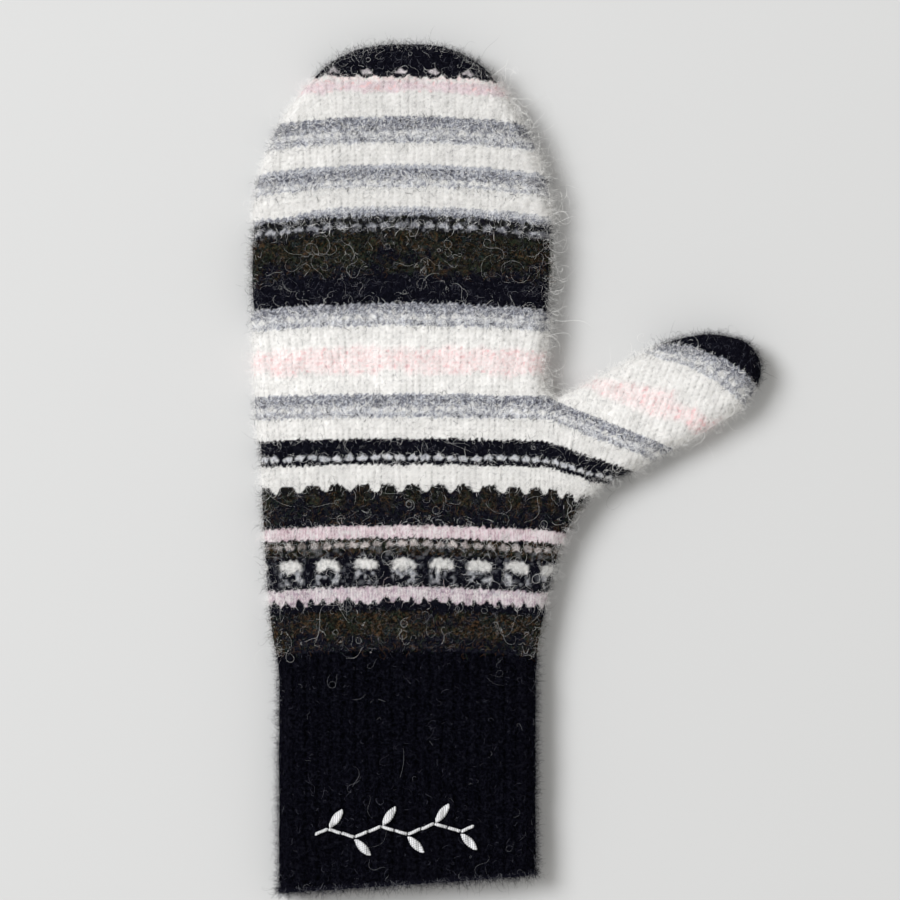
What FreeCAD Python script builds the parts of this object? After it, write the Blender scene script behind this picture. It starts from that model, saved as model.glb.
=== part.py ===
"""Knitted wool mitten, lying flat: a ribbed cuff, a striped hand and a striped thumb.

Frame, millimetres: +Z up from the surface it lies on, +Y towards the fingertips, +X towards the
thumb. The origin is under the middle of the object's box. The fabric is one hollow tube, lying
in two layers, that was knitted from one yarn after another. Each yarn's stripe is a closed ring
(or a cap, at the two tips) that meets the next stripe face to face, as its loops do.
"""

import FreeCAD
import Part
import os
from math import atan2, sqrt, tan

# Gauge: the height of one knitted course, and the thickness of the felted fabric.
COURSE = 1.6
WALL = 2.6

# Overall sizes of the mitten as it lies.
THICKNESS = 14.0
HAND_WIDTH = 101.0
HAND_TOP = 141.3
HAND_MID_X = -34.5
CUFF_END_LEFT = -141.3
CUFF_END_RIGHT = -135.3
CUFF_LEFT_X = -75.6
CUFF_RIGHT_X = 11.2
CUFF_STRAIGHT_TO = -72.0

# A course bows towards the fingertips at mid hand, least beside the thumb, and slopes down across
# the gusset that widens the palm towards the thumb.
LEAST_BOW = 0.8
MOST_BOW = 3.4
LEAST_BOW_LEVEL = 20.0
BOW_GROWTH_UP = 55.0
BOW_GROWTH_DOWN = 100.0
GUSSET_X = 14.6
GUSSET_FOOT = -30.0
GUSSET_SLOPE = 0.40
GUSSET_EASE = 0.45

# The crotch between hand and thumb, and the line up from it that has the hand on its left.
CROTCH = (15.4, 22.6)
PARTING_TOP = (24.0, 115.0)

# Roundness of the two folded edges: a little under half the thickness leaves flat faces.
OUTER_FILLET = THICKNESS / 2 - 0.2
INNER_FILLET = THICKNESS / 2 - WALL - 0.2

# Stripes from the fingertips down to where the thumb leaves the hand, and from there down to the
# cuff, with each one's number of courses.
FINGER_STRIPES = [
    ("fingertip_cap_navy", 7),
    ("hand_stripe_01_pink", 4),
    ("hand_stripe_02_white", 5),
    ("hand_stripe_03_grey", 6),
    ("hand_stripe_04_white", 5),
    ("hand_stripe_05_grey", 5),
    ("hand_stripe_06_white", 4),
    ("hand_stripe_07_grey", 4),
    ("hand_stripe_08_olive", 9),
    ("hand_stripe_09_navy", 6),
    ("knuckle_stripe_01_grey", 5),
    ("knuckle_stripe_02_white", 4),
    ("knuckle_stripe_03_pink", 6),
    ("knuckle_stripe_04_white", 4),
]
PALM_STRIPES = [
    ("palm_stripe_01_grey", 5),
    ("palm_stripe_02_white", 4),
    ("palm_stripe_03_navy_fleck", 6),
    ("palm_stripe_04_white", 5),
    ("palm_stripe_05_olive_points", 7),
    ("palm_stripe_06_pink", 3),
    ("palm_stripe_07_olive_fleck", 3),
    ("palm_stripe_08_navy_blocks", 6),
    ("wrist_stripe_01_pink", 4),
    ("wrist_stripe_02_navy", 2),
    ("wrist_stripe_03_olive", 8),
]
WRIST_LEVEL = -61.3
THUMB_LEVEL = WRIST_LEVEL + COURSE * sum(courses for _, courses in PALM_STRIPES)

# Lines between the thumb's stripes: each runs from the crotch side, over its middle, to the outer
# side. The first is where the thumb leaves the hand, along the top of the palm's grey stripe.
THUMB_LINES = [
    ((24.6, 25.8), (45.2, 19.6), (65.4, 11.0)),
    ((32.0, 29.6), (53.6, 25.0), (72.2, 15.4)),
    ((45.2, 36.4), (63.0, 32.2), (79.8, 20.0)),
    ((52.0, 40.6), (68.2, 37.8), (83.6, 27.0)),
]
THUMB_STRIPES = [
    "thumb_stripe_01_white",
    "thumb_stripe_02_pink",
    "thumb_stripe_03_white",
    "thumb_stripe_04_grey",
    "thumb_tip_cap_navy",
]

# The cast-on courses at the cuff's end, and the closing and joining yarns inside.
EDGE_COURSES = 2 * COURSE
YARN = 1.2
CROTCH_STITCHES = 3
CROTCH_STITCH_GAP = 1.8
GRAFT_LENGTH = 46.0
GRAFT_REACH = 20.0
THUMB_TIP = (84.0, 34.0)
THUMB_GRAFT_LENGTH = 20.0
THUMB_GRAFT_REACH = 6.0
DARN_WIDTH = 5.0
DARN_REACH = 2.0

# The embroidered sprig on the cuff: a stem of straight stitches with a leaf on each side in turn.
THREAD = 1.1
THREAD_RISE = 0.7
STITCH_GAP = 0.25
SPRIG_START = (-63.0, -122.4)
SPRIG_END = (-10.0, -119.6)
STEM_STITCHES = 12
STEM_WAVE = 1.5
LEAF_LENGTH = 7.0
LEAF_WIDTH = 2.2
LEAF_LEAN = 50.0

# Cutters run REACH past the fabric in plan and CLEAR above and below it. A corner flatter than
# STRAIGHT is no corner.
REACH = 40.0
CLEAR = 1.0
STRAIGHT = 1e-3
V = FreeCAD.Vector


def line(a, b):
    """A straight edge between two plan points."""
    return Part.LineSegment(V(a[0], a[1], 0), V(b[0], b[1], 0)).toShape()


def arc(points):
    """An arc over three plan points."""
    return Part.Arc(*[V(x, y, 0) for x, y in points]).toShape()


def rounded_corner(a, b, corner):
    """The arc from a to b whose tangents there meet at a corner."""
    middle = (a + b) * 0.5
    half = (b - a).Length / 2
    towards = corner - middle
    if towards.Length < STRAIGHT:
        return Part.LineSegment(a, b).toShape()
    rise = half * tan(atan2(towards.Length, half) / 2)
    return Part.Arc(a, middle + towards.normalize() * rise, b).toShape()


def smooth_run(points, first, last):
    """A smooth run of arcs through plan points, with given directions at its two ends."""
    points = [V(x, y, 0) for x, y in points]
    directions = [V(first[0], first[1], 0)]
    for before, here, after in zip(points, points[1:], points[2:]):
        to_here, onward = here - before, after - here
        turn = to_here * (1 / to_here.Length**2) + onward * (1 / onward.Length**2)
        directions.append(turn.normalize())
    directions.append(V(last[0], last[1], 0))
    edges = []
    for a, b, leaving, arriving in zip(points, points[1:], directions, directions[1:]):
        chord = b - a
        bend = 1 - leaving.dot(arriving)
        pull = chord.dot(leaving + arriving)
        if bend < STRAIGHT**2:
            reach = chord.dot(chord) / (2 * pull)
        else:
            reach = (sqrt(pull**2 + 2 * bend * chord.dot(chord)) - pull) / (2 * bend)
        corner_a, corner_b = a + leaving * reach, b - arriving * reach
        join = (corner_a + corner_b) * 0.5
        edges += [rounded_corner(a, join, corner_a), rounded_corner(join, b, corner_b)]
    return edges


def outline():
    """The mitten's plan outline, closed. It runs on below the cuff's end, which is cut later."""
    half = HAND_WIDTH / 2
    left, right, top = HAND_MID_X - half, HAND_MID_X + half, HAND_TOP
    below = CUFF_END_LEFT - REACH
    wrist_left, wrist_right = (CUFF_LEFT_X, CUFF_STRAIGHT_TO), (CUFF_RIGHT_X, CUFF_STRAIGHT_TO)
    hand = [
        wrist_left,
        (left + 6.4, -50.0),
        (left + 3.6, -8.0),
        (left + 1.0, 36.0),
        (left + 0.4, 78.0),
        (left + 4.2, top - 40.0),
        (left + 16.0, top - 17.6),
        (left + 29.6, top - 4.6),
        (HAND_MID_X, top),
        (right - 26.4, top - 5.0),
        (right - 13.2, top - 19.6),
        (right - 2.8, top - 42.0),
        (right, 74.0),
        (right - 1.4, 44.0),
        (right - 2.5, 28.0),
    ]
    thumb = [
        (CROTCH[0] + 4.8, CROTCH[1] + 1.8),
        (34.0, 31.6),
        (47.6, 38.8),
        (59.0, 43.2),
        (70.0, 44.4),
        (80.0, 41.6),
        (85.1, 34.0),
        (81.0, 22.8),
        (66.0, 11.2),
        (46.0, 0.2),
        (28.4, -13.2),
        (19.4, -28.0),
        (14.6, -46.0),
        wrist_right,
    ]
    cuff = [
        line(wrist_right, (CUFF_RIGHT_X, below)),
        line((CUFF_RIGHT_X, below), (CUFF_LEFT_X, below)),
        line((CUFF_LEFT_X, below), wrist_left),
    ]
    return Part.Wire(smooth_run(hand + [CROTCH] + thumb, (0, 1), (0, -1)) + cuff)


def pillow(wire, inset, fillet):
    """The outline, inset on all sides, as a flat solid with round long edges."""
    face = Part.Face(wire)
    if inset:
        face = face.makeOffset2D(-inset)
    low, height = inset, THICKNESS - 2 * inset
    face.translate(V(0, 0, low))
    solid = face.extrude(V(0, 0, height))
    rims = [
        e
        for e in solid.Edges
        if e.BoundBox.ZLength < STRAIGHT and e.BoundBox.YMax > CUFF_END_LEFT - REACH + inset + CLEAR
    ]
    return solid.makeFillet(fillet, rims)


def course_drop(x, level):
    """How far below its level at mid hand a course lies at x."""
    up = level - LEAST_BOW_LEVEL
    growth = min(1.0, max(up / BOW_GROWTH_UP, -up / BOW_GROWTH_DOWN))
    bow = LEAST_BOW + (MOST_BOW - LEAST_BOW) * growth
    across = (min(x, GUSSET_X) - HAND_MID_X) / (HAND_WIDTH / 2)
    share = max(0.0, min(1.0, (level - GUSSET_FOOT) / (THUMB_LEVEL - GUSSET_FOOT)))
    slope = GUSSET_SLOPE * share**GUSSET_EASE
    return bow * across**2 + slope * max(0.0, x - GUSSET_X)


def course_point(x, level):
    return (x, level - course_drop(x, level))


def course_edges(level):
    """The plan line of the course at a level, from past the left side to past the thumb."""
    left = HAND_MID_X - HAND_WIDTH / 2 - REACH / 4
    right = HAND_MID_X + HAND_WIDTH / 2 + 2 * REACH
    hand = [course_point(x, level) for x in (left, HAND_MID_X, GUSSET_X)]
    tail = course_point(right, level)
    return [arc(hand), line(hand[-1], tail)], hand[0], tail


def block(edges):
    """The prism over a closed ring of plan edges, from below the mitten to above it."""
    face = Part.Face(Part.Wire(Part.__sortEdges__(edges)))
    face.translate(V(0, 0, -CLEAR))
    return face.extrude(V(0, 0, THICKNESS + 2 * CLEAR))


def between_courses(upper, lower):
    """Everything between two course levels."""
    top, top_left, top_right = course_edges(upper)
    low, low_left, low_right = course_edges(lower)
    return block(top + low + [line(top_left, low_left), line(top_right, low_right)])


def straight_block(corners):
    """The prism over a polygon."""
    return block([line(a, b) for a, b in zip(corners, corners[1:] + corners[:1])])


def hand_side():
    """Everything on the hand's side of the crotch."""
    left, top, low = HAND_MID_X - HAND_WIDTH, HAND_TOP + REACH, CUFF_END_LEFT - REACH
    far = (PARTING_TOP[0], top)
    return straight_block([(left, low), (CROTCH[0], low), CROTCH, PARTING_TOP, far, (left, top)])


def thumb_line(i):
    """Edges of the line below thumb stripe i, made longer at both ends, with its two end points."""
    if i == 0:
        return course_edges(THUMB_LEVEL)
    start, middle, end = THUMB_LINES[i - 1]
    before = (start[0] - REACH / 4, start[1] + REACH / 40)
    after = (end[0] + REACH / 4, end[1] - REACH / 4)
    return [line(before, start), arc((start, middle, end)), line(end, after)], before, after


def thumb_block(i):
    """Everything between the line below thumb stripe i and the line above it, or the tip."""
    low, low_left, low_right = thumb_line(i)
    if i < len(THUMB_LINES):
        top, top_left, top_right = thumb_line(i + 1)
        return block(low + top + [line(low_left, top_left), line(low_right, top_right)])
    above = (low_left[0], CROTCH[1] + 2 * REACH)
    far = (low_right[0], above[1])
    return block(low + [line(low_left, above), line(above, far), line(far, low_right)])


def cuff_end_y(x):
    """The plan line of the cuff's end, which lies a little askew."""
    rise = (CUFF_END_RIGHT - CUFF_END_LEFT) / (CUFF_RIGHT_X - CUFF_LEFT_X)
    return CUFF_END_LEFT + rise * (x - CUFF_LEFT_X)


def cuff_block(upper, lower):
    """Everything between a level, or a distance above the cuff's end, and a distance above that end."""
    left, right = CUFF_LEFT_X - REACH, CUFF_RIGHT_X + REACH
    low = [(left, cuff_end_y(left) + lower), (right, cuff_end_y(right) + lower)]
    if upper is None:
        top, top_left, top_right = course_edges(WRIST_LEVEL)
        return block(top + [line(top_left, low[0]), line(*low), line(low[1], top_right)])
    return straight_block(low + [(right, cuff_end_y(right) + upper), (left, cuff_end_y(left) + upper)])


def save(name, shape):
    """Write a node's solid, or its solids together."""
    solids = shape.Solids
    shape = solids[0] if len(solids) == 1 else Part.Compound(solids)
    assert solids and shape.isValid(), name
    shape.exportStep(os.path.join("parts", name + ".step"))


def fabric():
    """The whole tube, and the space inside it with the same space less one yarn all round."""
    plan = outline()
    outer = pillow(plan, 0.0, OUTER_FILLET)
    inner = pillow(plan, WALL, INNER_FILLET)
    lining = pillow(plan, WALL + YARN, INNER_FILLET - YARN)
    return outer.cut(inner), inner.cut(lining)


def make_stripes(shell, stripes, level, reach):
    """Cut stripes from the tube one above another, from a level up. The last one reaches further."""
    for i, (name, courses) in enumerate(reversed(stripes)):
        upper = level + COURSE * courses
        last = i == len(stripes) - 1
        save(name, shell.common(between_courses(upper + (reach if last else 0.0), level)))
        level = upper


def make_thumb(shell):
    for i, name in enumerate(THUMB_STRIPES):
        save(name, shell.common(thumb_block(i)))


def make_cuff(shell):
    save("cuff_rib", shell.common(cuff_block(None, EDGE_COURSES)))
    save("cuff_cast_on_edge", shell.common(cuff_block(EDGE_COURSES, 0.0)))


def flat_box(centre, sizes):
    """A box about a centre."""
    return Part.makeBox(*sizes, V(*centre) - V(*sizes) * 0.5)


def make_yarns(lining):
    """The yarns inside that close the two tips, join the cuff to the hand and mend the crotch."""
    mid = THICKNESS / 2
    join = lining.common(between_courses(WRIST_LEVEL + YARN / 2, WRIST_LEVEL - YARN / 2))
    save("cuff_linking_yarn", join)
    tip = flat_box((HAND_MID_X, HAND_TOP, mid), (GRAFT_LENGTH, 2 * GRAFT_REACH, YARN))
    save("fingertip_grafting_yarn", lining.common(tip))
    tip = flat_box((*THUMB_TIP, mid), (2 * THUMB_GRAFT_REACH, THUMB_GRAFT_LENGTH, YARN))
    save("thumb_tip_grafting_yarn", lining.common(tip))
    stitches = []
    for i in range(CROTCH_STITCHES):
        height = mid + (i - (CROTCH_STITCHES - 1) / 2) * CROTCH_STITCH_GAP
        darn = flat_box((CROTCH[0], CROTCH[1] - WALL, height), (DARN_WIDTH, 2 * DARN_REACH, YARN))
        stitches.append(lining.common(darn))
    save("crotch_darning_stitches", Part.Compound(stitches))


def stitch(a, b, width):
    """One embroidery stitch: a flat bar with round ends, from a to b, on the mitten's upper face."""
    a, b = V(a[0], a[1], 0), V(b[0], b[1], 0)
    along = (b - a).normalize()
    side = V(-along.y, along.x, 0) * (width / 2)
    tip_a, tip_b = a - along * (width / 2), b + along * (width / 2)
    edges = [
        Part.LineSegment(a + side, b + side).toShape(),
        Part.Arc(b + side, tip_b, b - side).toShape(),
        Part.LineSegment(b - side, a - side).toShape(),
        Part.Arc(a - side, tip_a, a + side).toShape(),
    ]
    face = Part.Face(Part.Wire(edges))
    face.translate(V(0, 0, THICKNESS))
    return face.extrude(V(0, 0, THREAD_RISE))


def leaf(root, angle):
    """One satin-stitched leaf: a lens from its root, at an angle in degrees."""
    turn = FreeCAD.Rotation(V(0, 0, 1), angle)
    root = V(root[0], root[1], THICKNESS)
    tip = root + turn.multVec(V(LEAF_LENGTH, 0, 0))
    middle = (root + tip) * 0.5
    side = turn.multVec(V(0, LEAF_WIDTH / 2, 0))
    edges = [
        Part.Arc(root, middle + side, tip).toShape(),
        Part.Arc(tip, middle - side, root).toShape(),
    ]
    face = Part.Face(Part.Wire(edges))
    return face.extrude(V(0, 0, THREAD_RISE))


def make_sprig():
    """The embroidery: a slightly waved stem with leaves on alternate sides."""
    (x0, y0), (x1, y1) = SPRIG_START, SPRIG_END
    pieces = []
    for i in range(STEM_STITCHES):
        ends = []
        for k, inset in ((i, 1), (i + 1, -1)):
            share = k / STEM_STITCHES
            wave = STEM_WAVE * (1 if k % 4 == 1 else -1 if k % 4 == 3 else 0)
            x = x0 + (x1 - x0) * share + inset * (THREAD + STITCH_GAP) / 2
            ends.append((x, y0 + (y1 - y0) * share + wave))
        pieces.append(stitch(*ends, THREAD))
        if i % 2:
            side = 1 if i % 4 == 1 else -1
            root = (ends[0][0] + STITCH_GAP, ends[0][1] + side * (THREAD / 2 + STITCH_GAP))
            pieces.append(leaf(root, side * LEAF_LEAN))
    save("cuff_embroidery", Part.Compound(pieces))


def main():
    os.makedirs("parts", exist_ok=True)
    shell, lining = fabric()
    make_stripes(shell, PALM_STRIPES, WRIST_LEVEL, 0.0)
    make_stripes(shell.common(hand_side()), FINGER_STRIPES, THUMB_LEVEL, REACH)
    make_thumb(shell.cut(hand_side()))
    make_cuff(shell)
    make_yarns(lining)
    make_sprig()


main()
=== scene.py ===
import bpy
import math
import numpy as np
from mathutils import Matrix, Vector
from mathutils.kdtree import KDTree


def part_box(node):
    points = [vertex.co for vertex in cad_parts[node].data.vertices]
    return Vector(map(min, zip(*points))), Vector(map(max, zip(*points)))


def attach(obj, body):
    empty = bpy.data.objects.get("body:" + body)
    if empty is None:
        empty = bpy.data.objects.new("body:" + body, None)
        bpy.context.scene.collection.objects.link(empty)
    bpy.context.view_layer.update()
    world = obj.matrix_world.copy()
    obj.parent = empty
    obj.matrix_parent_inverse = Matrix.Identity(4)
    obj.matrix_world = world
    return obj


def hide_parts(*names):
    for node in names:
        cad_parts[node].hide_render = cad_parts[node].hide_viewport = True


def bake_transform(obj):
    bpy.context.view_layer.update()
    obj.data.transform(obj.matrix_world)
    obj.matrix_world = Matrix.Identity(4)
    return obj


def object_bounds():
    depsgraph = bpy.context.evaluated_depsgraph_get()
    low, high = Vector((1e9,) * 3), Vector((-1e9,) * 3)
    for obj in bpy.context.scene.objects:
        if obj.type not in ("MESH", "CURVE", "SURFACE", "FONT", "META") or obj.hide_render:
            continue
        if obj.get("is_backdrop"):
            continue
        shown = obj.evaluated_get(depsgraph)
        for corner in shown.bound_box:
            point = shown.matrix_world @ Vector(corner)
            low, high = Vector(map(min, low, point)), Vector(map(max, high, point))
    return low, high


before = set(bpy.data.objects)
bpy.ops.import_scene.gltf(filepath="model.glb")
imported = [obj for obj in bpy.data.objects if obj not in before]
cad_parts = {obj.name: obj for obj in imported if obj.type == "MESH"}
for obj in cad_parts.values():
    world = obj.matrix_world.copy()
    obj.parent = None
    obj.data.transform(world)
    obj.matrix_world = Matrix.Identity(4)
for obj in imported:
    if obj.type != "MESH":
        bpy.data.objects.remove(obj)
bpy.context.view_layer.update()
rng = np.random.default_rng(20)
MM = 0.001

# ---- the mitten's plan, as in the CAD
COURSE = 1.6
HAND_WIDTH, HAND_TOP, HAND_MID_X = 101.0, 141.3, -34.5
CUFF_LEFT_X, CUFF_RIGHT_X, CUFF_MID_X = -75.6, 11.2, -32.2
CUFF_END_LEFT, CUFF_END_RIGHT, CUFF_STRAIGHT_TO = -141.3, -135.3, -72.0
LEAST_BOW, MOST_BOW, LEAST_BOW_LEVEL = 0.8, 3.4, 20.0
BOW_GROWTH_UP, BOW_GROWTH_DOWN = 55.0, 100.0
GUSSET_X, GUSSET_FOOT, GUSSET_SLOPE, GUSSET_EASE = 14.6, -30.0, 0.40, 0.45
CROTCH, PARTING_TOP = (15.4, 22.6), (24.0, 115.0)
WRIST_LEVEL = -61.3
# The stripes' nodes, each with its height in courses, from the wrist to the fingertips.
STRIPES = [
    ("wrist_stripe_03_olive", 8), ("wrist_stripe_02_navy", 2), ("wrist_stripe_01_pink", 4),
    ("palm_stripe_08_navy_blocks", 6), ("palm_stripe_07_olive_fleck", 3), ("palm_stripe_06_pink", 3),
    ("palm_stripe_05_olive_points", 7), ("palm_stripe_04_white", 5), ("palm_stripe_03_navy_fleck", 6),
    ("palm_stripe_02_white", 4), ("palm_stripe_01_grey", 5),
    ("knuckle_stripe_04_white", 4), ("knuckle_stripe_03_pink", 6), ("knuckle_stripe_02_white", 4),
    ("knuckle_stripe_01_grey", 5),
    ("hand_stripe_09_navy", 6), ("hand_stripe_08_olive", 9), ("hand_stripe_07_grey", 4),
    ("hand_stripe_06_white", 4), ("hand_stripe_05_grey", 5), ("hand_stripe_04_white", 5),
    ("hand_stripe_03_grey", 6), ("hand_stripe_02_white", 5), ("hand_stripe_01_pink", 4),
    ("fingertip_cap_navy", 7),
]
LEVELS = WRIST_LEVEL + COURSE * np.cumsum([0] + [s[1] for s in STRIPES])
THUMB_LEVEL = LEVELS[11]
# Where the thumb's stripes begin: three places on each line, in the plan.
THUMB_LINES = [
    ((15.4, 22.4), (36.0, 14.2), (57.0, 5.8)),
    ((24.6, 25.8), (45.2, 19.6), (65.4, 11.0)),
    ((32.0, 29.6), (53.6, 25.0), (72.2, 15.4)),
    ((45.2, 36.4), (63.0, 32.2), (79.8, 20.0)),
    ((52.0, 40.6), (68.2, 37.8), (83.6, 27.0)),
]
THUMB_STRIPES = [
    ("thumb_stripe_01_white", 5), ("thumb_stripe_02_pink", 5), ("thumb_stripe_03_white", 6),
    ("thumb_stripe_04_grey", 4), ("thumb_tip_cap_navy", 5),
]
THUMB_CAP_RUN = 15.0
THUMB_REACH_AT, THUMB_REACH = (0.0, 9.8, 18.1, 32.9, 41.0, 60.0), (0.0, 1.0, 2.0, 3.0, 4.0, 6.0)
THUMB_ACROSS = np.array((0.93, -0.3676))
THUMB_ALONG = np.array((0.3676, 0.93))
CAST_ON = 2 * COURSE
WALE_AT = (-62, 12, 27, 43, 87, 103, 120, 132)
WALE = (2.09, 2.1, 2.2, 2.3, 2.43, 2.48, 2.65, 2.8)
THUMB_WALE, RIB_PITCH = 2.15, 4.13

# The lying tube's section: a round fold of radius RIM at each side, a flat underside and a crown.
RIM = 5.6
FOLD = RIM * math.pi / 2
SPARE = FOLD - RIM
RIM_Z = 5.95
CROWN, CROWN_REACH = 2.0, 18.0
LINING = 2.3

# The fuzz adds to the outline, so the fabric is drawn in from the CAD's, by different amounts.
PULL, PULL_FADE, LEFT_PULL, WHITE_SWELL = 1.2, 5.0, 0.9, 1.3
GUSSET_PULL, GUSSET_SPOT, GUSSET_REACH = 2.4, (27.0, -12.0), 11.0
TIP_PUSH, TIP_SPOT, TIP_REACH = 0.7, (81.5, 23.0), 9.0

STEP = 0.4


def course_drop(x, level):
    up = level - LEAST_BOW_LEVEL
    share = np.minimum(1.0, np.maximum(up / BOW_GROWTH_UP, -up / BOW_GROWTH_DOWN))
    bow = LEAST_BOW + (MOST_BOW - LEAST_BOW) * share
    across = (np.minimum(x, GUSSET_X) - HAND_MID_X) / (HAND_WIDTH / 2)
    gusset = np.clip((level - GUSSET_FOOT) / (THUMB_LEVEL - GUSSET_FOOT), 0.0, 1.0)
    return bow * across**2 + GUSSET_SLOPE * gusset**GUSSET_EASE * np.maximum(0.0, x - GUSSET_X)


def course_level(x, y):
    """The level, at mid hand, of the course that passes a plan point."""
    level = y + course_drop(x, y)
    for _ in range(12):
        level = 0.5 * level + 0.5 * (y + course_drop(x, level))
    return level


def arc_points(a, b, corner, count):
    """Points on the arc from a to b whose tangents meet at a corner."""
    half = np.linalg.norm(b - a) / 2
    weight = half / math.hypot(half, np.linalg.norm(corner - (a + b) / 2))
    t = np.linspace(0, 1, count, endpoint=False)[:, None]
    mass = (1 - t) ** 2 + 2 * weight * t * (1 - t) + t**2
    return ((1 - t) ** 2 * a + 2 * weight * t * (1 - t) * corner + t**2 * b) / mass


def smooth_run(points, first, last):
    """A line of arcs through the points, which leaves and arrives in the given directions."""
    points = [np.array(p, float) for p in points]
    directions = [np.array(first, float)]
    for before, here, after in zip(points, points[1:], points[2:]):
        u, w = here - before, after - here
        turn = u / (u @ u) + w / (w @ w)
        directions.append(turn / np.linalg.norm(turn))
    directions.append(np.array(last, float))
    run = []
    for a, b, leaving, arriving in zip(points, points[1:], directions, directions[1:]):
        chord = b - a
        bend = 1 - leaving @ arriving
        pull = chord @ (leaving + arriving)
        if bend < 1e-6:
            reach = (chord @ chord) / (2 * pull)
        else:
            reach = (math.sqrt(pull**2 + 2 * bend * (chord @ chord)) - pull) / (2 * bend)
        corner_a, corner_b = a + leaving * reach, b - arriving * reach
        join = (corner_a + corner_b) / 2
        count = max(4, int(np.linalg.norm(chord) / 0.8))
        run += [arc_points(a, join, corner_a, count), arc_points(join, b, corner_b, count)]
    return np.concatenate(run + [points[-1][None]])


def plan_outline():
    left, right, top = HAND_MID_X - HAND_WIDTH / 2, HAND_MID_X + HAND_WIDTH / 2, HAND_TOP
    points = [
        (CUFF_LEFT_X, CUFF_STRAIGHT_TO), (left + 6.4, -50.0), (left + 3.6, -8.0),
        (left + 1.0, 36.0), (left + 0.4, 78.0), (left + 4.2, top - 40.0),
        (left + 16.0, top - 17.6), (left + 29.6, top - 4.6), (HAND_MID_X, top),
        (right - 26.4, top - 5.0), (right - 13.2, top - 19.6), (right - 2.8, top - 42.0),
        (right, 74.0), (right - 1.4, 44.0), (right - 2.5, 28.0), CROTCH,
        (CROTCH[0] + 4.8, CROTCH[1] + 1.8), (34.0, 31.6), (47.6, 38.8), (59.0, 43.2),
        (70.0, 44.4), (80.0, 41.6), (85.1, 34.0), (81.0, 22.8), (66.0, 11.2), (46.0, 0.2),
        (28.4, -13.2), (19.4, -28.0), (14.6, -46.0), (CUFF_RIGHT_X, CUFF_STRAIGHT_TO),
    ]
    run = smooth_run(points, (0, 1), (0, -1))
    low_left, low_right = (CUFF_LEFT_X, -152.0), (CUFF_RIGHT_X, -152.0)
    left_side = np.linspace(low_left, run[0], 160, endpoint=False)
    right_side = np.linspace(run[-1], low_right, 161)[1:]
    return np.concatenate([left_side, run, right_side])


def run_lengths(line):
    """The length of the line up to each of its points."""
    return np.concatenate([[0], np.cumsum(np.linalg.norm(np.diff(line, axis=0), axis=1))])


def respaced(line, step, least=0):
    """The same line with points at even steps."""
    lengths = run_lengths(line)
    at = np.linspace(0, lengths[-1], max(least, int(lengths[-1] / step)))
    return np.stack([np.interp(at, lengths, places) for places in line.T], 1)


def unit(vectors):
    """The same vectors at length one."""
    return vectors / np.maximum(np.linalg.norm(vectors, axis=-1, keepdims=True), 1e-6)


def inward(line):
    """Unit normals to the right of the way the line runs, which is into the fabric."""
    along = unit(np.gradient(line, axis=0))
    return np.stack([along[:, 1], -along[:, 0]], 1)


def tree_of(points):
    tree = KDTree(len(points))
    for i, p in enumerate(points):
        tree.insert((p[0], p[1], 0.0), i)
    tree.balance()
    return tree


def unrolled_outline():
    """The outline moved out by the length that the round folds take up."""
    line = respaced(plan_outline(), 0.3)
    moved = line - SPARE * inward(line)
    tree = tree_of(line)
    clear = [tree.find((p[0], p[1], 0.0))[2] > SPARE - 0.08 for p in moved]
    return respaced(moved[clear], 0.25)


# ---- smooth noise on the plan
def noise(x, y, size, seed):
    """Smooth value noise between -1 and 1, with features of about a size in millimetres."""
    cells = np.random.default_rng(seed).uniform(-1, 1, (257, 257))
    x, y = np.asarray(x) / size + 400.37 + seed % 7, np.asarray(y) / size + 400.71
    i, j = np.floor(x).astype(int), np.floor(y).astype(int)
    s, t = x - i, y - j
    s, t = s * s * (3 - 2 * s), t * t * (3 - 2 * t)
    i, j, k, m = i % 257, j % 257, (i + 1) % 257, (j + 1) % 257
    low = cells[i, j] * (1 - s) + cells[k, j] * s
    high = cells[i, m] * (1 - s) + cells[k, m] * s
    return low * (1 - t) + high * t


def smooth(x, low, high):
    t = np.clip((x - low) / (high - low), 0.0, 1.0)
    return t * t * (3 - 2 * t)


# ---- the grid
def cuff_end(x):
    rise = (CUFF_END_RIGHT - CUFF_END_LEFT) / (CUFF_RIGHT_X - CUFF_LEFT_X)
    return CUFF_END_LEFT + rise * (x - CUFF_LEFT_X)


def nearest_on(line, normals, points):
    """For each point the nearest place on the line and how far inside it the point is."""
    tree = tree_of(line)
    index = np.fromiter((tree.find((x, y, 0.0))[1] for x, y in points), int, len(points))
    best, foot = np.full(len(points), 1e9), np.zeros((len(points), 2))
    for shift in (-1, 0):
        a = np.clip(index + shift, 0, len(line) - 2)
        start, run = line[a], line[a + 1] - line[a]
        share = np.clip(((points - start) * run).sum(1) / (run * run).sum(1), 0, 1)
        place = start + share[:, None] * run
        gap = np.linalg.norm(points - place, axis=1)
        nearer = gap < best
        best[nearer], foot[nearer] = gap[nearer], place[nearer]
    side = ((points - foot) * normals[index]).sum(1)
    return foot, np.where(side >= 0, best, -best), index


xs = np.arange(-90.4, 90.5, STEP)
ys = np.arange(-143.2, 146.5, STEP)
NX, NY = len(xs), len(ys)
QX, QY = (g.ravel() for g in np.meshgrid(xs, ys, indexing="ij"))
RIM_LINE = unrolled_outline()
RIM_NORMAL = inward(RIM_LINE)
foot, inside, index = nearest_on(RIM_LINE, RIM_NORMAL, np.stack([QX, QY], 1))

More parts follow.
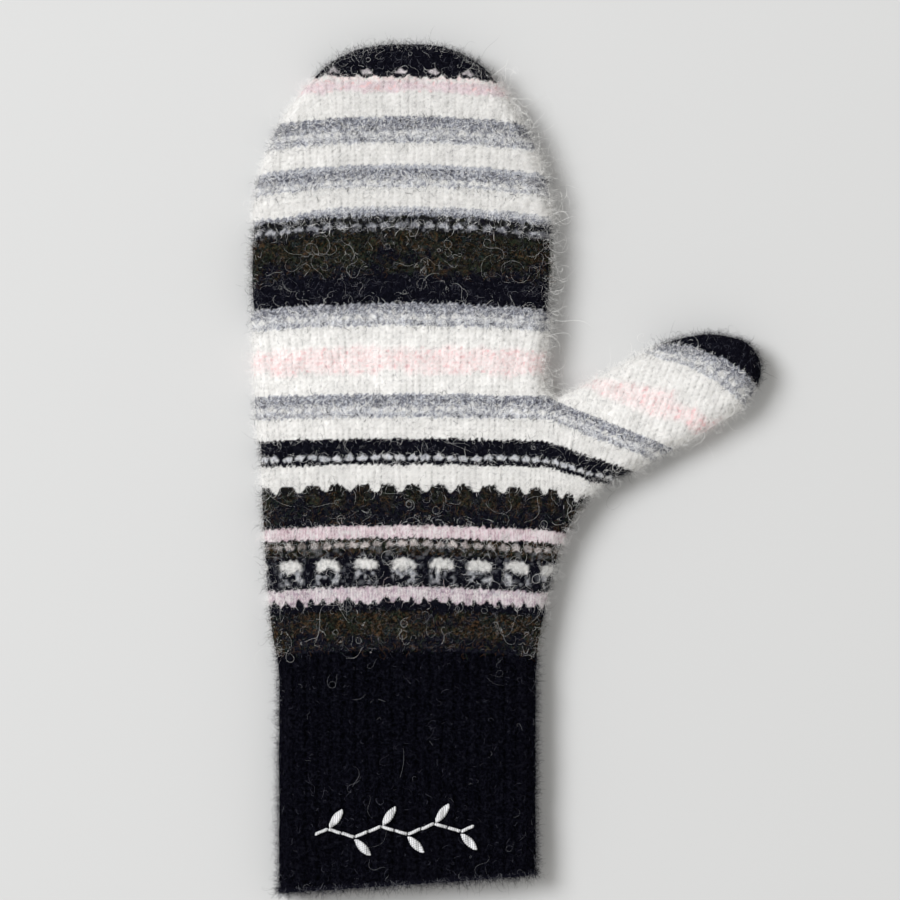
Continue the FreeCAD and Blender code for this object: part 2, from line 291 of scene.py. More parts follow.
node = np.arange(NX * NY).reshape(NX, NY)
corners = np.stack([node[:-1, :-1], node[1:, :-1], node[1:, 1:], node[:-1, 1:]], -1).reshape(-1, 4)
middle_x, middle_y = QX[corners].mean(1), QY[corners].mean(1)
kept = (inside[corners].mean(1) > 0) & (middle_y > cuff_end(middle_x))
corners = corners[kept]
uses = np.bincount(corners.ravel(), minlength=NX * NY)
border = (uses > 0) & (uses < 4)
on_rim = border & (inside < 1.6 * STEP)
on_mouth = border & (np.abs(QY - cuff_end(QX)) < 1.3 * STEP)
depth = np.where(on_rim, 0.0, np.maximum(inside, 0.05))
QX, QY = np.where(on_rim, foot[:, 0], QX), np.where(on_rim, foot[:, 1], QY)
QY = np.where(on_mouth, cuff_end(QX), QY)

into = np.stack([QX, QY], 1) - foot
length = np.linalg.norm(into, axis=1)
near = ((length < 0.3) | on_rim)[:, None]
into = np.where(near, RIM_NORMAL[index], into / np.maximum(length, 1e-6)[:, None])
turn = np.minimum(depth / RIM, math.pi / 2)
flat = np.where(depth < FOLD, RIM * (1 - np.cos(turn)), depth - SPARE)
tuck = SPARE + flat - depth
PX = QX + tuck * into[:, 0]
PY = QY + tuck * into[:, 1]
crown = CROWN * (1 - np.exp(-np.maximum(depth - FOLD, 0) / CROWN_REACH))

# ---- which stitch is where
LEVEL = course_level(PX, PY)
parting = CROTCH[0] + (PY - CROTCH[1]) * (PARTING_TOP[0] - CROTCH[0]) / (PARTING_TOP[1] - CROTCH[1])
ON_THUMB = (LEVEL > THUMB_LEVEL) & (PX > parting) & (PX > CROTCH[0])
across = PX * THUMB_ACROSS[0] + PY * THUMB_ACROSS[1]
along = PX * THUMB_ALONG[0] + PY * THUMB_ALONG[1]
heights = []
for points in THUMB_LINES:
    places = np.array(points)
    heights.append(np.polyval(np.polyfit(places @ THUMB_ACROSS, places @ THUMB_ALONG, 2), across))
heights.append(heights[-1] + THUMB_CAP_RUN)
THUMB_T = np.zeros(len(PX))
for k in range(5):
    share = (along - heights[k]) / (heights[k + 1] - heights[k])
    THUMB_T = np.where(share > 0, k + np.minimum(share, 1.0 if k < 4 else 2.0), THUMB_T)
from_crotch = np.hypot(PX - CROTCH[0], PY - CROTCH[1])
THUMB_T = np.clip(THUMB_T, 0.001, 0.15 + np.interp(from_crotch, THUMB_REACH_AT, THUMB_REACH))

mid_x = CUFF_MID_X + (HAND_MID_X - CUFF_MID_X) * smooth(QY, -70.0, 0.0)
lean = GUSSET_SLOPE * smooth(QX, 4.0, 34.0) * smooth(QY, -45.0, 0.0)
U = (QX - mid_x - lean * (QY - 20.0)) / np.interp(QY, WALE_AT, WALE)
U = np.where(ON_THUMB, (QX * THUMB_ACROSS[0] + QY * THUMB_ACROSS[1]) / THUMB_WALE, U)
courses = np.interp(THUMB_T, np.arange(6), np.cumsum([0] + [s[1] for s in THUMB_STRIPES]))
ROW = np.where(ON_THUMB, courses, (LEVEL - WRIST_LEVEL) / COURSE)
RIB_U = (QX - CUFF_MID_X) / RIB_PITCH
FROM_END = PY - cuff_end(PX)


def grid_noise(side):
    """Noise over the grid, with its own pattern above and below, and squeezed along the hand or not."""
    def rough(size, seed, squeeze=1.0):
        return noise(QX, QY * squeeze, size, seed + 50 * side)
    return rough


# ---- relief of the knitting
def relief(side):
    """How far the yarn stands out of the fabric's middle surface, in millimetres."""
    rough = grid_noise(side)
    wander = 0.12 * rough(5.0, 11)
    u, row = U + wander, ROW + 0.2 * rough(6.0, 12)
    leg = np.abs(2 * (u - np.floor(u)) - 1)
    felted = np.clip(0.5 + 0.8 * rough(2.2, 17), 0, 1)
    column = np.sqrt(np.maximum(1 - leg**2, 0))
    column = column + felted * 0.5 * (1 - column)
    loop = 0.5 + 0.5 * np.cos(2 * math.pi * (row - 0.6 * leg))
    knit = 0.34 * column + 0.22 * loop * column - 0.12 * np.exp(-((leg / 0.16) ** 2))
    fr = np.abs(2 * (RIB_U + wander / 2 - np.floor(RIB_U + wander / 2)) - 1)
    ridge = smooth(1 - fr, 0.12, 0.75)
    ridge_leg = np.minimum(fr * 2, 1.0)
    stitch = 0.5 + 0.5 * np.cos(2 * math.pi * (row + 0.6 * ridge_leg))
    purl = 0.5 + 0.5 * np.cos(2 * math.pi * row)
    rib = 0.85 * ridge + 0.16 * stitch * ridge + 0.10 * purl * (1 - ridge) - 0.25
    cast_on = 0.45 * np.exp(-((FROM_END - 1.2) / 0.9) ** 2) * (0.7 + 0.3 * np.cos(4 * math.pi * RIB_U))
    rib = rib * smooth(FROM_END, 0.4, 3.0) + cast_on
    blend = smooth(LEVEL, WRIST_LEVEL - 1.2, WRIST_LEVEL + 1.2)
    height = np.where(ON_THUMB, knit, rib * (1 - blend) + knit * blend)
    felt = 0.09 * rough(0.9, 13) + 0.10 * rough(2.2, 14)
    swell = 0.30 * rough(17.0, 15) + 0.16 * rough(7.0, 16)
    return height + felt + swell * np.minimum(1.0, 0.3 + depth / 12)


# ---- yarn colours
WHITE = ((0.80, 0.785, 0.76), (0.69, 0.685, 0.67))
MARL = ((0.44, 0.455, 0.50), (0.095, 0.098, 0.125))
LIGHT_MARL = ((0.72, 0.725, 0.74), (0.36, 0.37, 0.41))
PINK = ((0.86, 0.765, 0.755), (0.85, 0.65, 0.635))
DEEP_PINK = ((0.79, 0.53, 0.53), (0.83, 0.60, 0.60))
TIP_PINK = ((0.75, 0.63, 0.655), (0.60, 0.47, 0.515))
ROSE = ((0.75, 0.635, 0.675), (0.63, 0.43, 0.485))
DULL_PINK = ((0.65, 0.55, 0.59), (0.36, 0.275, 0.33))
NAVY = ((0.0035, 0.0035, 0.0062), (0.011, 0.0115, 0.018))
OLIVE = ((0.0045, 0.0046, 0.0040), (0.026, 0.026, 0.018))
BROWN = ((0.0090, 0.0065, 0.0050), (0.094, 0.050, 0.025))
GREEN = ((0.0045, 0.0070, 0.0050), (0.026, 0.040, 0.024))
TEAL = ((0.0040, 0.0080, 0.0100), (0.016, 0.040, 0.046))
RIB_NAVY = ((0.0014, 0.0014, 0.0026), (0.0100, 0.0103, 0.0155))
FLECK = ((0.66, 0.67, 0.71), (0.26, 0.27, 0.31))
MARL_DARK = ((0.055, 0.058, 0.085), (0.17, 0.175, 0.21))
MARL_PALE = ((0.72, 0.73, 0.76), (0.42, 0.43, 0.47))
# Colours of the painted shade in the gaps beside the stitch legs, for the palm pink and the wrist pink.
ROSE_GAP_SHADE, DULL_GAP_SHADE = ((0.50, 0.34, 0.38), (0.28, 0.17, 0.21)), ((0.42, 0.29, 0.36), (0.20, 0.13, 0.19))
OLIVE_DOT, TIP_DOT = ((0.68, 0.60, 0.58), (0.34, 0.30, 0.28)), ((0.74, 0.68, 0.70), (0.34, 0.30, 0.34))
BASES = {"yarn_white": WHITE, "yarn_grey": MARL, "yarn_pink": PINK, "yarn_navy": NAVY,
         "yarn_olive": OLIVE, "yarn_cuff": RIB_NAVY}


def yarn_of(name):
    """The slot of a piece's yarn, whose colour is in the piece's name."""
    return next((yarn for yarn in BASES if yarn[5:] in name), "yarn_cuff")


# The grey bands: lowest and highest level, white below, grey above, and share of dark fibres.
GREYS = ((15.5, 23.5, 0.6, 0.4, 0.34), (45.9, 53.9, 0.6, 0.0, 0.34),
         (90.7, 98.7, 1.7, 1.1, 0.14), (106.7, 116.3, 0.6, 0.0, 0.28))


def away(u, period, at=0.0):
    """Distance in stitches from the nearest motif of a row of motifs."""
    return np.abs((u - at + period / 2) % period - period / 2)


def spots(u, level, mid, wide, tall, period=2, at=0.0):
    """A row of soft ovals: 1 inside, 0 outside."""
    reach = (away(u, period, at) / wide) ** 2 + ((level - mid) / tall) ** 2
    return smooth(1.15 - reach + 0.3 * noise(QX, QY, 1.1, 61), 0.0, 0.7)


def yarn_colours(side):
    """Two colours for each point: the yarn's own and that of the fibres mixed into it, both with painted
    shade and painted light laid over them.
    """
    rough = grid_noise(side)
    ragged = 0.34 * rough(0.9, 21) + 0.32 * rough(2.3, 22)
    leg = np.abs(2 * (U - np.floor(U)) - 1)
    tips = 0.5 * (leg - 0.5)
    seen = LEVEL if side else LEVEL - 0.0044 * (LEVEL - 5.0)
    sag = 1.9 * smooth(LEVEL, 121.0, 131.0) * smooth(PX, -70.0, -38.0)
    sag = sag + 0.7 * smooth(LEVEL, 100.0, 118.0)
    level = seen + ragged - tips * 1.2 + sag
    u = U + 0.12 * rough(1.6, 23)
    speck = rough(0.8, 24)
    grain = np.random.default_rng(60 + side).uniform(-1, 1, len(QX))
    tweed = 0.45 * rough(4.0, 28, 1.3) + 0.5 * rough(1.1, 25)
    tweed = tweed + 0.85 * grain
    patch = rough(9.0, 26, 1.7) + 0.5 * rough(3.0, 27)
    green = 0.7 * rough(3.1, 29) + 0.4 * rough(0.9, 30)
    green = green - 0.8 * np.roll(grain, 7)
    a, b = np.zeros((len(QX), 3)), np.zeros((len(QX), 3))

    def band(low, high):
        return (level > low) & (level < high)

    def paint(where, colours, share=1.0):
        share = np.broadcast_to(np.asarray(share, float), where.shape)[where, None]
        a[where] = a[where] * (1 - share) + np.array(colours[0]) * share
        b[where] = b[where] * (1 - share) + np.array(colours[1]) * share

    stripe = np.clip(np.searchsorted(LEVELS, level) - 1, 0, len(STRIPES) - 1)
    for i, (name, _) in enumerate(STRIPES):
        paint(stripe == i, BASES[yarn_of(name)])

    def tweed_in(zone, brown, navy):
        """Brown, green and teal specks over olive, with navy patches."""
        paint(zone, OLIVE)
        paint(zone, BROWN, smooth(tweed - brown, 0.1, 0.5))
        paint(zone, GREEN, 0.8 * smooth(green, 0.5, 0.9))
        paint(zone, TEAL, 0.7 * smooth(-green - 0.5 * tweed, 0.7, 1.1))
        paint(zone, NAVY, smooth(patch + 0.5 * speck - navy, -0.25, 0.35))

    def marl(zone, dark):
        """Single dark and pale fibres, thick enough to show."""
        paint(zone, MARL_DARK, dark * 2.0 * smooth(grain + 0.3 * speck, 0.15, 0.6))
        paint(zone, MARL_PALE, 0.55 * smooth(-grain + 0.3 * speck, 0.25, 0.8))

    def leg_highlights_and_gap_shade_in(zone, number, gap, share):
        """Painted highlights: the legs of the stitches lightened towards white; and painted shade: a
        darker gap beside each.
        """
        legs = np.cos(4 * math.pi * u) + 1.1 * rough(1.5, number)
        paint(zone, WHITE, 0.75 * smooth(legs, 0.1, 1.3))
        paint(zone, gap, share * smooth(-legs, 0.2, 1.3))

    low, high = LEVELS[16], LEVELS[17]
    sink = smooth(-level, -high + 5.0, -low + 1.0)
    tweed_in(band(low, high), 0.35 + 0.25 * sink, 0.70 - 1.25 * sink)
    tweed_in(band(-60.5, -47.6), 0.0, 0.50 - 1.3 * smooth(-level, 53.0, 58.5))
    paint(band(-47.6, -45.3), NAVY)
    paint(band(-61.5, -60.3), NAVY)

    # Wrist pink: small teeth along its lower edge, and mixed dark fibres.
    edge = -43.9 - 1.9 * np.maximum(0.0, 1 - away(u, 2) / 0.85) - 0.9 * rough(3.5, 49)
    zone = band(-47.5, -39.3)
    paint(zone & (level > edge), DULL_PINK)
    # Painted highlights on the stitch legs and painted shade in the gaps beside them.
    leg_highlights_and_gap_shade_in(zone & (level > edge), 63, DULL_GAP_SHADE, 0.65)
    paint(zone & (level > -41.5), MARL, 0.5 * smooth(rough(1.0, 50), 0.2, 0.8))
    paint(zone & (level <= edge), NAVY)
    # Navy with pale blocks six stitches apart: white above, mixed below.
    zone = band(-39.9, -29.3)
    paint(zone, NAVY)
    bulge = away(u, 6) + 0.25 * rough(1.4, 40)
    block = smooth(1.85 - bulge, -0.35, 0.35)
    top = -30.5 - 0.28 * np.minimum(away(u, 6), 2.0) ** 2
    foot_level = -33.9 - 0.9 * rough(2.6, 42)
    upper = smooth(top - level, -0.4, 0.5) * smooth(level - foot_level, -0.6, 0.5)
    lower = smooth(level, -39.2, -37.8) * smooth(-level, 33.8, 34.8)
    curls = smooth(rough(1.2, 31) + 0.5 * (away(u, 6) - 0.9), 0.0, 0.55)
    paint(zone, WHITE, block * upper * np.clip(0.86 + 0.25 * speck, 0, 0.97))
    paint(zone, FLECK, block * lower * curls * 0.55)
    paint(zone, MARL, 0.20 * smooth(rough(1.1, 43), 0.35, 0.8))
    # Olive row with pale flecks two stitches apart, under a thin dark line.
    zone = band(-29.6, -23.7)
    tweed_in(zone, 0.1, 0.6)
    dots = spots(u, level, -25.9 + 0.4 * rough(9.0, 54), 0.84, 1.1)
    paint(zone, OLIVE_DOT, dots * np.clip(0.7 + 0.4 * rough(5.0, 55), 0, 1))
    paint(zone & (level < -25.5), FLECK, 0.18 * smooth(rough(1.1, 32), 0.1, 0.7))
    zone = band(-23.7, LEVELS[6])
    paint(zone, ROSE)
    # Painted highlights on the stitch legs and painted shade in the gaps beside them.
    leg_highlights_and_gap_shade_in(zone, 44, ROSE_GAP_SHADE, 0.75)
    # Olive patches between the white points, navy below them.
    zone = band(LEVELS[6], LEVELS[7] + 2.5)
    point = away(u, 4)
    edge = -5.7 - 3.3 * np.maximum(0.0, 1 - point / 1.3)
    paint(zone & (level > edge), WHITE)
    under = zone & (level <= edge)
    paint(under, NAVY)
    gap = smooth(1.25 - away(u, 4, 2.0), -0.3, 0.5) * smooth(level + 1.5 * patch, -15.0, -11.0)
    paint(under, OLIVE, 0.8 * gap)
    paint(under, BROWN, 0.8 * gap * smooth(tweed + 0.3 * patch, 0.3, 0.8))
    paint(under, GREEN, 0.7 * gap * smooth(green, 0.45, 0.85))
    # Navy with a row of white dashes two stitches apart.
    zone = band(LEVELS[8] - 0.3, LEVELS[9])
    dash_level = 3.0 + 0.3 * rough(9.0, 53)
    dash = spots(u, level, dash_level, 0.88, 0.98)
    paint(zone, FLECK, 0.92 * dash)
    paint(zone, WHITE, 0.45 * dash * smooth(speck, 0.0, 0.6))
    paint(zone & (level < 0.5), WHITE)
    # Greys: dark marl above, then a row of pale ovals two stitches apart, then light marl.
    for low, high, under, over, dark in GREYS:
        paint(band(low - 0.3, low + under + 0.3), WHITE)
        zone = band(low + under, high + over)
        tall = high - low
        share = (level - low) / tall
        paint(zone, MARL)
        paint(zone, LIGHT_MARL, 0.95 * smooth(-share + 0.12 * speck, -0.66, -0.40))
        marl(zone, dark * (1 - 0.7 * smooth(-share, -0.6, -0.4)))
        sway = 0.5 * rough(5.0, 51)
        strength = np.clip(0.60 + 0.6 * rough(5.0, 52), 0.05, 0.95)
        paint(zone, WHITE, strength * spots(u, level + sway, low + 0.43 * tall, 0.80, 0.85))
        faint = 0.6 * (1 - strength)
        paint(zone, WHITE, faint * spots(u, level + sway, low + 0.62 * tall, 0.70, 0.60, at=1.0))
        paint(zone, MARL, 0.6 * spots(u, level + sway, low + 0.17 * tall, 0.9, 0.9, at=1.0))
    # The grey above the olive band: light marl, then a dark row with pale flecks.
    zone = band(77.7, 85.9 - 2.6 * smooth(-PX, 58.0, 80.0))
    paint(zone, MARL)
    paint(zone, LIGHT_MARL, 0.8 * smooth(level, 84.6, 85.6))
    marl(zone, 0.30)
    paint(zone & (level < 82.8), NAVY)
    paint(zone & (level < 82.8), OLIVE, smooth(tweed, -0.4, 0.2))
    strength = np.clip(0.62 + 0.5 * rough(5.0, 59), 0.1, 0.9)
    paint(zone, FLECK, strength * spots(u, level, 79.7, 0.80, 0.95))
    paint(zone & (level < 82.8), FLECK, 0.3 * smooth(rough(1.1, 34), 0.1, 0.7))
    # Pinks fade into the whites beside them, with deeper flecks two stitches apart.
    for low, high, colours in ((29.2, 41.0, PINK), (124.3, 130.7, TIP_PINK)):
        zone = band(low, high)
        paint(zone, colours)
        middle = np.sin(math.pi * np.clip((level - low) / (high - low), 0, 1))
        paint(zone, WHITE, 1 - smooth(middle + 0.35 * rough(3.0, 35), 0.05, 0.95))
        rows = np.cos(math.pi * u) * np.cos(math.pi * ROW)
        flecks = rough(1.0, 46) + 0.55 * rows + 0.3 * grain
        paint(zone, DEEP_PINK, smooth(flecks, 0.45, 1.0) * smooth(middle, 0.2, 0.6))
    # Fingertip: a row of pale flecks four stitches apart.
    spike = np.maximum(0.0, 1 - away(u, 2, 1.0) / 0.75)
    spike = 130.9 + 1.5 * spike * (0.6 + 0.6 * rough(4.0, 56))
    zone = band(130.0, spike)
    paint(zone, PINK)
    paint(zone, WHITE, smooth(speck, -0.3, 0.5))
    dots = spots(u, level, 133.3, 0.80, 0.85, period=4)
    zone = band(130.9, 135.5)
    paint(zone, TIP_DOT, dots * np.clip(0.75 + 0.5 * rough(6.0, 57), 0, 1))

    # The thumb.
    late = 0.4 * np.exp(-((PX - 46.0) ** 2 + (PY - 38.5) ** 2) / 4.5**2)
    t = THUMB_T + 0.12 * (ragged - tips) - late
    for i, (name, _) in enumerate(THUMB_STRIPES):
        paint(ON_THUMB & (np.clip(t.astype(int), 0, 4) == i), BASES[yarn_of(name)])
    zone = ON_THUMB & (t > 0.70) & (t < 2.2)
    bloom = np.sin(math.pi * np.clip((t - 0.70) / 1.5, 0, 1)) + 0.45 * rough(5.0, 36)
    paint(zone, PINK)
    paint(zone, WHITE, 1 - 0.85 * smooth(bloom, 0.2, 1.0))
    flecks = smooth(rough(1.0, 47) + 0.5 * np.cos(math.pi * u) + 0.3 * grain, 0.5, 1.05)
    paint(zone, DEEP_PINK, flecks * smooth(bloom, 0.35, 0.8))
    zone = ON_THUMB & (t > 3.0) & (t < 4.0)
    paint(zone, LIGHT_MARL, 0.9 * smooth(3.6 - t + 0.25 * rough(2.0, 37), -0.2, 0.3))
    marl(zone, 0.30)
    paint(zone, WHITE, 0.8 * spots(u, 5 * t, 16.8 + 0.5 * rough(5.0, 58), 0.8, 0.7))

    # The cuff.
    cuff = (LEVEL < WRIST_LEVEL + 0.5 * rough(1.5, 39)) & ~ON_THUMB
    paint(cuff, RIB_NAVY)

    # Painted shade: the colours are darkened in the grooves between the stitch columns and between the
    # loops, more on the light yarns and not on the cuff.
    painted_groove_shade = np.exp(-(((1 - leg) / 0.26) ** 2)) * np.clip(0.35 + 1.2 * rough(1.3, 48), 0.0, 1.3)
    painted_groove_shade *= np.where(a.mean(1) > 0.55, 1.0, 0.5)
    loop = 0.5 + 0.5 * np.cos(2 * math.pi * (ROW - 0.6 * leg))
    painted_groove_shade *= 0.45 + 0.75 * (1 - loop)
    shade = (1 - 0.32 * painted_groove_shade) * (1 - 0.08 * (1 - loop) * (0.6 + 0.4 * speck))
    shade = np.where(cuff, 1.0, shade)
    # Painted light: all colours are made lighter round level 33, the middle of the hand, and darker
    # towards the wrist and the fingertips.
    crown = 0.94 + 0.17 * np.exp(-(((LEVEL - 33) / 22) ** 2))
    a *= (shade * crown)[:, None]
    b *= (shade * crown)[:, None]
    return np.clip(a, 0, 0.93), np.clip(b, 0, 0.93)


def bell(spot, reach):
    """1 at a place in the plan, and less away from it."""
    return np.exp(-(np.hypot(PX - spot[0], PY - spot[1]) / reach) ** 2)


def sheet(side):
    """Place and normal of every grid point of one layer: 0 above, 1 below."""
    up = 1.0 if side == 0 else -1.0
    normal = np.stack([-into[:, 0] * np.cos(turn), -into[:, 1] * np.cos(turn), up * np.sin(turn)], 1)
    z = RIM_Z + RIM * np.sin(turn) + crown if side == 0 else RIM_Z - RIM * np.sin(turn)
    left = LEFT_PULL * (PX < HAND_MID_X) * smooth(PY, -12.0, 10.0) * smooth(-PY, -110.0, -85.0)
    gusset = GUSSET_PULL * bell(GUSSET_SPOT, GUSSET_REACH)
    tip = TIP_PUSH * bell(TIP_SPOT, TIP_REACH)
    whites = smooth(LEVEL, 7.5, 9.5) * smooth(-LEVEL, -53.5, -51.5) * ~ON_THUMB
    whites += smooth(LEVEL, 83.5, 85.5) * smooth(-LEVEL, -106.0, -92.0) * ~ON_THUMB
    facing = THUMB_ALONG[1] * into[:, 0] - THUMB_ALONG[0] * into[:, 1]
    whites += 0.8 * ON_THUMB * smooth(facing, 0.1, -0.5)
    pull = (PULL + left + gusset - tip - WHITE_SWELL * whites) * np.exp(-depth / PULL_FADE)
    base = np.stack([PX + pull * into[:, 0], PY + pull * into[:, 1], z], 1)
    return base, normal


SHEETS = [sheet(0), sheet(1)]
RELIEF = [relief(0), relief(1)]
RELIEF[1] = np.where(on_rim, RELIEF[0], RELIEF[1])
COLOURS = [yarn_colours(0), yarn_colours(1)]
OUTER = []
for (base, normal), height in zip(SHEETS, RELIEF):
    place = base + normal * height[:, None]
    place[:, 2] = np.maximum(place[:, 2], 0.02 + 0.1 * np.abs(noise(QX, QY, 1.0, 41)))
    OUTER.append(place)


# ---- materials
def principled(name, roughness, sheen=0.0, gloss=0.05):
    material = bpy.data.materials.new(name)
    material.use_nodes = True
    shader = material.node_tree.nodes["Principled BSDF"]
    shader.inputs["Roughness"].default_value = roughness
    shader.inputs["Specular IOR Level"].default_value = gloss
    shader.inputs["Sheen Weight"].default_value = sheen
    shader.inputs["Sheen Roughness"].default_value = 0.5
    return material, material.node_tree, shader


def add_node(tree, kind, inputs=(), **settings):
    """A shader node with its settings and the values of its inputs."""
    new = tree.nodes.new("ShaderNode" + kind)
    for key, value in settings.items():
        setattr(new, key, value)
    for key, value in dict(inputs).items():
        new.inputs[key].default_value = value
    return new


def wire(source, output, target, value):
    """Link two shader nodes of one material."""
    source.id_data.links.new(source.outputs[output], target.inputs[value])


def yarn_material(name, sheen, mix_low, mix_high, bump=0.55, gloss=0.05):
    """Felted yarn. The mesh gives its colour and that of the fibres in it, and a fine noise mixes them."""
    material, tree, shader = principled(name, 0.95, sheen, gloss)
    own = add_node(tree, "Attribute", attribute_name="yarn")
    mixed = add_node(tree, "Attribute", attribute_name="fibre")
    place = add_node(tree, "TexCoord")
    bend = add_node(tree, "TexNoise", {"Scale": 260.0, "Detail": 2.0})
    fine = add_node(tree, "TexNoise",
                    {"Scale": 2300.0, "Detail": 3.0, "Roughness": 0.65, "Distortion": 1.6})
    wide = add_node(tree, "TexNoise", {"Scale": 900.0, "Detail": 3.0})
    for texture in (bend, fine, wide):
        wire(place, "Object", texture, "Vector")
    add = add_node(tree, "Math", operation="ADD")
    wire(fine, "Fac", add, 0)
    wire(wide, "Fac", add, 1)
    spread = add_node(tree, "MapRange", {"From Min": mix_low, "From Max": mix_high})
    wire(add, 0, spread, "Value")
    mix = add_node(tree, "Mix", data_type="RGBA")
    wire(spread, "Result", mix, 0)
    wire(own, "Color", mix, 6)
    wire(mixed, "Color", mix, 7)
    shade = add_node(tree, "MapRange", {"From Min": 0.3, "From Max": 0.7, "To Min": 0.88, "To Max": 1.08})
    wire(bend, "Fac", shade, "Value")
    tone = add_node(tree, "VectorMath", operation="SCALE")
    wire(mix, 2, tone, 0)
    wire(shade, "Result", tone, "Scale")
    wire(tone, 0, shader, "Base Color")
    bumps = add_node(tree, "Bump", {"Strength": bump, "Distance": 0.00035})
    wire(fine, "Fac", bumps, "Height")
    wire(bumps, "Normal", shader, "Normal")
    return material


def fibre_material(name, colour):
    material, _, shader = principled(name, 0.8)
    shader.inputs["Base Color"].default_value = (*colour, 1.0)
    return material


YARNS = {
    "yarn_white": yarn_material("felted_white_wool", 0.05, 1.00, 1.35),
    "yarn_pink": yarn_material("felted_pink_wool", 0.05, 0.95, 1.25),
    "yarn_grey": yarn_material("felted_grey_marl_wool", 0.03, 0.92, 1.08),
    "yarn_navy": yarn_material("felted_navy_wool", 0.0, 1.00, 1.25, gloss=0.0),
    "yarn_olive": yarn_material("felted_olive_tweed_wool", 0.0, 0.96, 1.12, gloss=0.0),
    "yarn_cuff": yarn_material("ribbed_navy_wool", 0.0, 1.00, 1.25, 0.7, 0.0),
}


# ---- building meshes
def add_mesh(name, verts, faces, material_list, face_material=None, attributes=()):
    """A mesh object from places in millimetres and equal-sized faces."""
    verts, faces = np.asarray(verts, np.float32) * MM, np.asarray(faces, np.int32)
    size = faces.shape[1]
    mesh = bpy.data.meshes.new(name)
    mesh.vertices.add(len(verts))
    mesh.vertices.foreach_set("co", verts.ravel())
    mesh.loops.add(faces.size)
    mesh.loops.foreach_set("vertex_index", faces.ravel())
    mesh.polygons.add(len(faces))
    mesh.polygons.foreach_set("loop_start", np.arange(0, faces.size, size, dtype=np.int32))
    for material in material_list:
        mesh.materials.append(material)
    if face_material is not None:
        mesh.polygons.foreach_set("material_index", np.asarray(face_material, np.int32))
    mesh.update(calc_edges=True)
    mesh.polygons.foreach_set("use_smooth", np.ones(len(faces), bool))
    for key, values in attributes:
        layer = mesh.attributes.new(key, "FLOAT_COLOR", "POINT")
        rgba = np.concatenate([values, np.ones((len(values), 1))], 1).astype(np.float32)
        layer.data.foreach_set("color", rgba.ravel())
    mesh.validate()
    obj = bpy.data.objects.new(name, mesh)
    bpy.context.scene.collection.objects.link(obj)
    return obj


def joined(meshes):
    """The places and the faces of many meshes as one mesh."""
    offsets = np.cumsum([0] + [len(verts) for verts, _ in meshes])
    faces = [faces + offset for (_, faces), offset in zip(meshes, offsets)]
    return np.concatenate([verts for verts, _ in meshes]), np.concatenate(faces)


# Every cell of the grid belongs to the piece whose CAD ring holds its middle.
level_mid = LEVEL[corners].mean(1)
thumb_mid = ON_THUMB[corners].mean(1) > 0.5
t_mid = THUMB_T[corners].mean(1)
end_mid = FROM_END[corners].mean(1)
PIECES = [name for name, _ in STRIPES + THUMB_STRIPES] + ["cuff_rib", "cuff_cast_on_edge"]
piece_of = np.clip(np.searchsorted(LEVELS, level_mid) - 1, 0, len(STRIPES) - 1)
piece_of = np.where(thumb_mid, len(STRIPES) + np.clip(t_mid.astype(int), 0, 4), piece_of)
cuff_mid = (level_mid < WRIST_LEVEL) & ~thumb_mid
piece_of = np.where(cuff_mid, PIECES.index("cuff_rib"), piece_of)
piece_of = np.where(cuff_mid & (end_mid < CAST_ON), PIECES.index("cuff_cast_on_edge"), piece_of)
TOTAL = NX * NY


def place_on(obj, zone):
    """Attach a piece to the body it belongs to; a piece that lies between two only has its transform
    applied.
    """
    if zone == "knuckle":
        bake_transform(obj)
    elif zone == "wrist":
        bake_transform(obj)
    elif zone == "thumb_root":
        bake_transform(obj)
    else:
        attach(obj, zone)


def zone_of(name):
    if name in ("thumb_stripe_01_white", "thumb_stripe_02_pink"):
        return "thumb_root"
    part = name.split("_")[0]
    return "fingers" if part in ("hand", "fingertip") else part


def mouth_faces(cells):
    """Grid edges along the cuff's mouth, each with the fabric on its left seen from above."""
    edges = np.concatenate([cells[:, [k, (k + 1) % 4]] for k in range(4)])
    edges = edges[on_mouth[edges].all(1) & (FROM_END[edges] < 0.6).all(1)]
    key = np.sort(edges, 1)
    _, first, count = np.unique(key[:, 0] * TOTAL + key[:, 1], return_index=True, return_counts=True)
    return edges[first[count == 1]]


